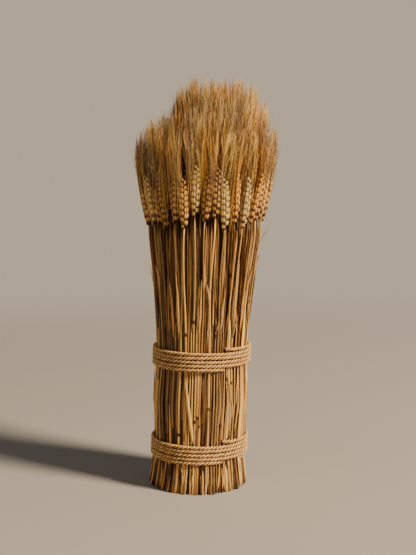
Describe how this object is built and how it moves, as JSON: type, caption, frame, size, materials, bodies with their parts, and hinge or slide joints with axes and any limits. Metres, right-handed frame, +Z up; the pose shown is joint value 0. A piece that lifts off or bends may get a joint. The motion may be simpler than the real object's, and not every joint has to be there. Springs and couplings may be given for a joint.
{
  "type": "dried wheat bundle",
  "caption": "Free-standing sheaf of dried bearded wheat, stalks upright on their cut ends, with ears and long awns on top, tied round with bands of twisted rope.",
  "frame": {"origin": "on the floor, in the middle of the cut straw ends that the sheaf stands on", "axes": "+Z up along the stalks; -Y is the front; the sheaf leans a little towards +X"},
  "size_m": [0.2176, 0.216, 0.6102],
  "materials": {
    "pale_wheat": "matt dry straw, pale",
    "gold_wheat": "matt dry straw, golden",
    "amber_wheat": "matt dry straw, amber",
    "rope": "twisted three-strand natural fibre"
  },
  "bodies": {
    "root": {"outer_bunch_01": "amber_wheat", "outer_bunch_02": "gold_wheat", "outer_bunch_03": "pale_wheat", "outer_bunch_04": "amber_wheat", "outer_bunch_05": "pale_wheat", "outer_bunch_06": "amber_wheat", "outer_bunch_07": "gold_wheat", "outer_bunch_08": "gold_wheat", "outer_bunch_09": "pale_wheat", "outer_bunch_10": "amber_wheat", "outer_bunch_11": "gold_wheat", "outer_bunch_12": "pale_wheat", "outer_bunch_13": "amber_wheat", "outer_bunch_14": "gold_wheat", "outer_bunch_15": "pale_wheat", "outer_bunch_16": "gold_wheat", "outer_bunch_17": "amber_wheat", "outer_bunch_18": "gold_wheat", "outer_bunch_19": "pale_wheat", "outer_bunch_20": "amber_wheat", "outer_bunch_21": "gold_wheat", "outer_bunch_22": "pale_wheat", "outer_bunch_23": "gold_wheat", "outer_bunch_24": "amber_wheat", "outer_bunch_25": "gold_wheat", "outer_bunch_26": "pale_wheat", "outer_bunch_27": "amber_wheat", "outer_bunch_28": "gold_wheat", "outer_bunch_29": "amber_wheat", "outer_bunch_30": "gold_wheat", "outer_bunch_31": "pale_wheat", "outer_bunch_32": "gold_wheat", "outer_bunch_33": "amber_wheat", "outer_bunch_34": "gold_wheat", "outer_bunch_35": "gold_wheat", "outer_bunch_36": "pale_wheat", "inner_bunch_1": "pale_wheat", "inner_bunch_2": "gold_wheat", "inner_bunch_3": "amber_wheat", "inner_bunch_4": "gold_wheat", "inner_bunch_5": "pale_wheat", "inner_bunch_6": "amber_wheat", "middle_bunch": "gold_wheat", "rope_band_lower": "rope", "rope_band_upper": "rope"}
  },
  "joints": []
}
